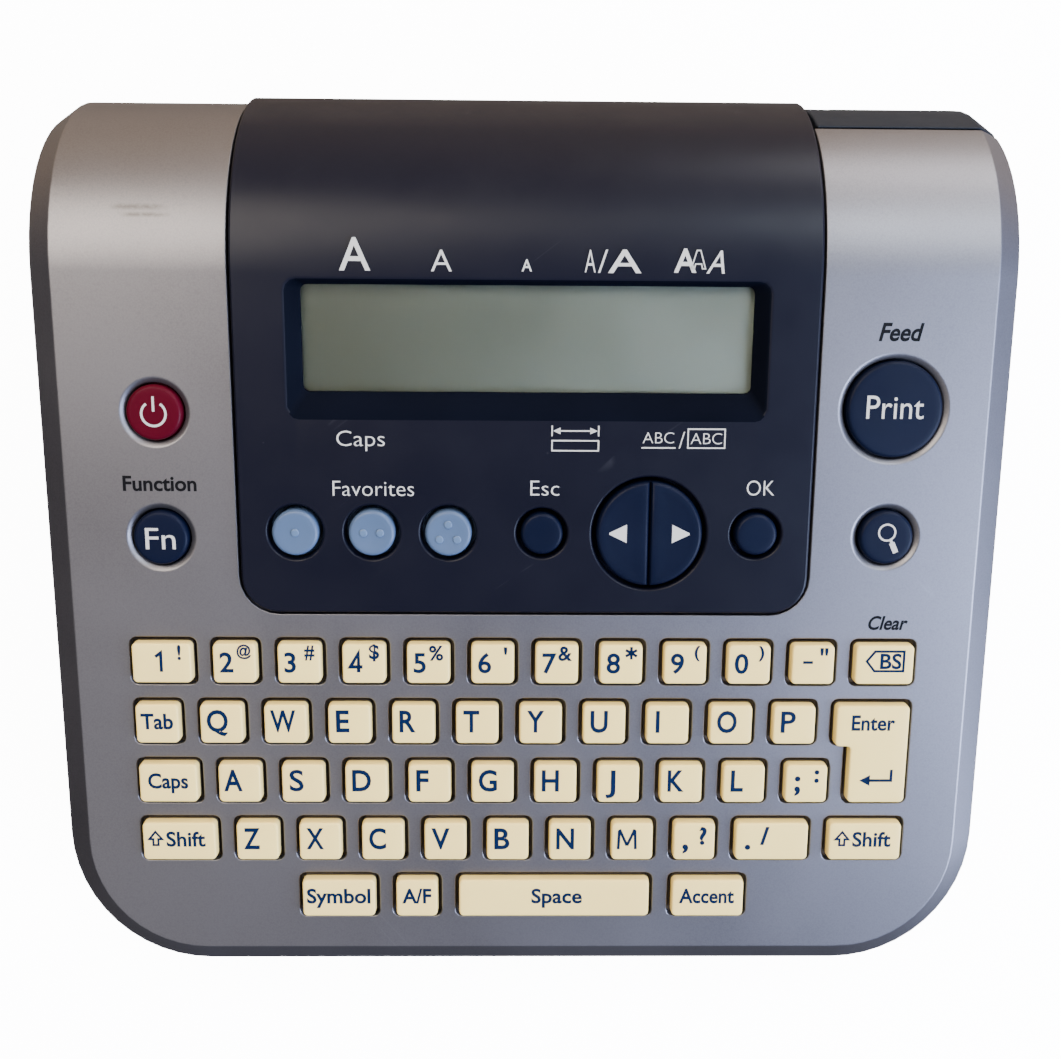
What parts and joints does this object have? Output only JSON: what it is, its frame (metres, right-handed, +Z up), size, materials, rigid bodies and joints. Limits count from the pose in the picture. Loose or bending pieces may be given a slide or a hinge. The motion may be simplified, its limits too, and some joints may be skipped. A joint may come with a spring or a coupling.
{
  "type": "label printer",
  "caption": "Desktop label printer with a sloped keyboard deck, a raised display panel on a rounded hump, round buttons, a side cutter lever and a hinged rear door.",
  "frame": {"origin": "centre of the overall box in plan, at the underside of the rubber feet", "axes": "+X to the user's right, the longest extent; +Y away from the user, towards the hump; +Z up, the shortest extent"},
  "size_m": [0.175, 0.168, 0.0689],
  "materials": {
    "silver_paint": "fine metallic silver paint on moulded plastic, satin",
    "navy_plastic": "dark navy moulded plastic, semi-gloss",
    "black_plastic": "black moulded plastic, fine texture",
    "cream_plastic": "cream key caps, satin",
    "blue_plastic": "pale blue satin buttons",
    "red_plastic": "red satin button",
    "rubber": "soft black rubber",
    "silicone": "translucent grey silicone",
    "glass": "clear window over the display",
    "lcd": "reflective display glass, grey-green",
    "board": "green solder mask",
    "steel": "plated sheet steel and ground shafts",
    "motor_can": "drawn motor can",
    "brass": "brass pinion",
    "white_gear": "natural acetal gears",
    "cell": "printed battery jacket",
    "cassette": "grey tape cassette shell",
    "ceramic": "ceramic print head"
  },
  "bodies": {
    "housing": {"base_tray": "black_plastic", "rubber_feet": "rubber", "top_housing": "silver_paint", "centre_panel": "navy_plastic", "lcd_window": "glass", "lcd_module": "lcd", "display_board": "board", "main_board": "board", "key_mat": "silicone", "button_mat": "silicone", "housing_screws": "steel", "dc_socket": "black_plastic", "battery_cells": "cell", "battery_contacts": "steel", "tape_cassette": "cassette", "mechanism_frame": "steel", "motor_bracket": "steel", "feed_motor": "motor_can", "lever_pin": "steel", "cutter_guide": "black_plastic"},
    "rear_door": {"rear_cover": "silver_paint"},
    "pinion": {"motor_pinion": "brass"},
    "reduction": {"reduction_gear": "white_gear"},
    "platen": {"platen_shaft": "steel", "platen_roller": "rubber", "platen_gear": "white_gear"},
    "ribbon_drive": {"ribbon_spindle": "white_gear"},
    "head": {"print_head": "ceramic", "head_arm": "steel"},
    "lever": {"cutter_lever": "navy_plastic"},
    "blade": {"cutter_blade": "steel"},
    "number_keys_body": {"number_keys": "cream_plastic"},
    "top_letter_keys_body": {"top_letter_keys": "cream_plastic"},
    "home_letter_keys_body": {"home_letter_keys": "cream_plastic"},
    "bottom_letter_keys_body": {"bottom_letter_keys": "cream_plastic"},
    "backspace_key_body": {"backspace_key": "cream_plastic"},
    "tab_key_body": {"tab_key": "cream_plastic"},
    "enter_key_body": {"enter_key": "cream_plastic"},
    "caps_key_body": {"caps_key": "cream_plastic"},
    "left_shift_key_body": {"left_shift_key": "cream_plastic"},
    "right_shift_key_body": {"right_shift_key": "cream_plastic"},
    "symbol_key_body": {"symbol_key": "cream_plastic"},
    "format_key_body": {"format_key": "cream_plastic"},
    "space_key_body": {"space_key": "cream_plastic"},
    "accent_key_body": {"accent_key": "cream_plastic"},
    "power_button_body": {"power_button": "red_plastic"},
    "function_button_body": {"function_button": "navy_plastic"},
    "print_button_body": {"print_button": "navy_plastic"},
    "magnifier_button_body": {"magnifier_button": "navy_plastic"},
    "favourite_button_1_body": {"favourite_button_1": "blue_plastic"},
    "favourite_button_2_body": {"favourite_button_2": "blue_plastic"},
    "favourite_button_3_body": {"favourite_button_3": "blue_plastic"},
    "escape_button_body": {"escape_button": "navy_plastic"},
    "cursor_rocker_body": {"cursor_rocker": "navy_plastic"},
    "ok_button_body": {"ok_button": "navy_plastic"}
  },
  "joints": [
    {"name": "number_keys_press", "type": "slide", "parent": "housing", "child": "number_keys_body", "axis": [0, 0.2419, -0.9703], "range_m": [0, 0.0012], "stiffness_N_per_m": 1500},
    {"name": "top_letter_keys_press", "type": "slide", "parent": "housing", "child": "top_letter_keys_body", "axis": [0, 0.2419, -0.9703], "range_m": [0, 0.0012], "stiffness_N_per_m": 1500},
    {"name": "home_letter_keys_press", "type": "slide", "parent": "housing", "child": "home_letter_keys_body", "axis": [0, 0.2419, -0.9703], "range_m": [0, 0.0012], "stiffness_N_per_m": 1500},
    {"name": "bottom_letter_keys_press", "type": "slide", "parent": "housing", "child": "bottom_letter_keys_body", "axis": [0, 0.2419, -0.9703], "range_m": [0, 0.0012], "stiffness_N_per_m": 1500},
    {"name": "backspace_key_press", "type": "slide", "parent": "housing", "child": "backspace_key_body", "axis": [0, 0.2419, -0.9703], "range_m": [0, 0.0012], "stiffness_N_per_m": 400},
    {"name": "tab_key_press", "type": "slide", "parent": "housing", "child": "tab_key_body", "axis": [0, 0.2419, -0.9703], "range_m": [0, 0.0012], "stiffness_N_per_m": 400},
    {"name": "enter_key_press", "type": "slide", "parent": "housing", "child": "enter_key_body", "axis": [0, 0.2419, -0.9703], "range_m": [0, 0.0012], "stiffness_N_per_m": 400},
    {"name": "caps_key_press", "type": "slide", "parent": "housing", "child": "caps_key_body", "axis": [0, 0.2419, -0.9703], "range_m": [0, 0.0012], "stiffness_N_per_m": 400},
    {"name": "left_shift_key_press", "type": "slide", "parent": "housing", "child": "left_shift_key_body", "axis": [0, 0.2419, -0.9703], "range_m": [0, 0.0012], "stiffness_N_per_m": 400},
    {"name": "right_shift_key_press", "type": "slide", "parent": "housing", "child": "right_shift_key_body", "axis": [0, 0.2419, -0.9703], "range_m": [0, 0.0012], "stiffness_N_per_m": 400},
    {"name": "symbol_key_press", "type": "slide", "parent": "housing", "child": "symbol_key_body", "axis": [0, 0.2419, -0.9703], "range_m": [0, 0.0012], "stiffness_N_per_m": 400},
    {"name": "format_key_press", "type": "slide", "parent": "housing", "child": "format_key_body", "axis": [0, 0.2419, -0.9703], "range_m": [0, 0.0012], "stiffness_N_per_m": 400},
    {"name": "space_key_press", "type": "slide", "parent": "housing", "child": "space_key_body", "axis": [0, 0.2419, -0.9703], "range_m": [0, 0.0012], "stiffness_N_per_m": 400},
    {"name": "accent_key_press", "type": "slide", "parent": "housing", "child": "accent_key_body", "axis": [0, 0.2419, -0.9703], "range_m": [0, 0.0012], "stiffness_N_per_m": 400},
    {"name": "power_button_press", "type": "slide", "parent": "housing", "child": "power_button_body", "axis": [0, 0.2419, -0.9703], "range_m": [0, 0.001], "stiffness_N_per_m": 500},
    {"name": "function_button_press", "type": "slide", "parent": "housing", "child": "function_button_body", "axis": [0, 0.2419, -0.9703], "range_m": [0, 0.001], "stiffness_N_per_m": 500},
    {"name": "print_button_press", "type": "slide", "parent": "housing", "child": "print_button_body", "axis": [0, 0.2419, -0.9703], "range_m": [0, 0.001], "stiffness_N_per_m": 500},
    {"name": "magnifier_button_press", "type": "slide", "parent": "housing", "child": "magnifier_button_body", "axis": [0, 0.2419, -0.9703], "range_m": [0, 0.001], "stiffness_N_per_m": 500},
    {"name": "favourite_button_1_press", "type": "slide", "parent": "housing", "child": "favourite_button_1_body", "axis": [0, 0.2419, -0.9703], "range_m": [0, 0.001], "stiffness_N_per_m": 500},
    {"name": "favourite_button_2_press", "type": "slide", "parent": "housing", "child": "favourite_button_2_body", "axis": [0, 0.2419, -0.9703], "range_m": [0, 0.001], "stiffness_N_per_m": 500},
    {"name": "favourite_button_3_press", "type": "slide", "parent": "housing", "child": "favourite_button_3_body", "axis": [0, 0.2419, -0.9703], "range_m": [0, 0.001], "stiffness_N_per_m": 500},
    {"name": "escape_button_press", "type": "slide", "parent": "housing", "child": "escape_button_body", "axis": [0, 0.2419, -0.9703], "range_m": [0, 0.001], "stiffness_N_per_m": 500},
    {"name": "cursor_rocker_press", "type": "slide", "parent": "housing", "child": "cursor_rocker_body", "axis": [0, 0.2419, -0.9703], "range_m": [0, 0.001], "stiffness_N_per_m": 500},
    {"name": "ok_button_press", "type": "slide", "parent": "housing", "child": "ok_button_body", "axis": [0, 0.2419, -0.9703], "range_m": [0, 0.001], "stiffness_N_per_m": 500},
    {"name": "reduction_spin", "type": "hinge", "parent": "housing", "child": "reduction", "pos_m": [0.05345, 0.048, 0.024], "axis": [0, 1, 0], "continuous": true},
    {"name": "pinion_spin", "type": "hinge", "parent": "housing", "child": "pinion", "pos_m": [0.0414, 0.046, 0.024], "axis": [0, 1, 0], "continuous": true},
    {"name": "platen_spin", "type": "hinge", "parent": "housing", "child": "platen", "pos_m": [0.064, 0.06, 0.024], "axis": [0, 1, 0], "continuous": true},
    {"name": "ribbon_spin", "type": "hinge", "parent": "housing", "child": "ribbon_drive", "pos_m": [0.04561, 0.055, 0.02852], "axis": [0, 1, 0], "continuous": true},
    {"name": "door_hinge", "type": "hinge", "parent": "housing", "child": "rear_door", "pos_m": [0, 0.081, 0.0072], "axis": [-1, 0, 0], "range_deg": [0, 80]},
    {"name": "head_lift", "type": "hinge", "parent": "housing", "child": "head", "pos_m": [0.054, 0.065, 0.038], "axis": [0, -1, 0], "range_deg": [0, 12], "stiffness_Nm_per_rad": 0.05, "springref_deg": -11.46},
    {"name": "cutter_press", "type": "hinge", "parent": "housing", "child": "lever", "pos_m": [0.057, 0.07, 0.047], "axis": [0, 1, 0], "range_deg": [0, 8], "stiffness_Nm_per_rad": 1.5},
    {"name": "blade_drop", "type": "slide", "parent": "housing", "child": "blade", "axis": [0, 0, -1], "range_m": [0, 0.0033]}
  ],
  "couplings": [
    {"joint": "pinion_spin", "follows": "platen_spin", "ratio": 7.5},
    {"joint": "reduction_spin", "follows": "platen_spin", "ratio": -2.5},
    {"joint": "ribbon_spin", "follows": "platen_spin", "ratio": 1.25},
    {"joint": "blade_drop", "follows": "cutter_press", "m_per_rad": 0.022918}
  ]
}
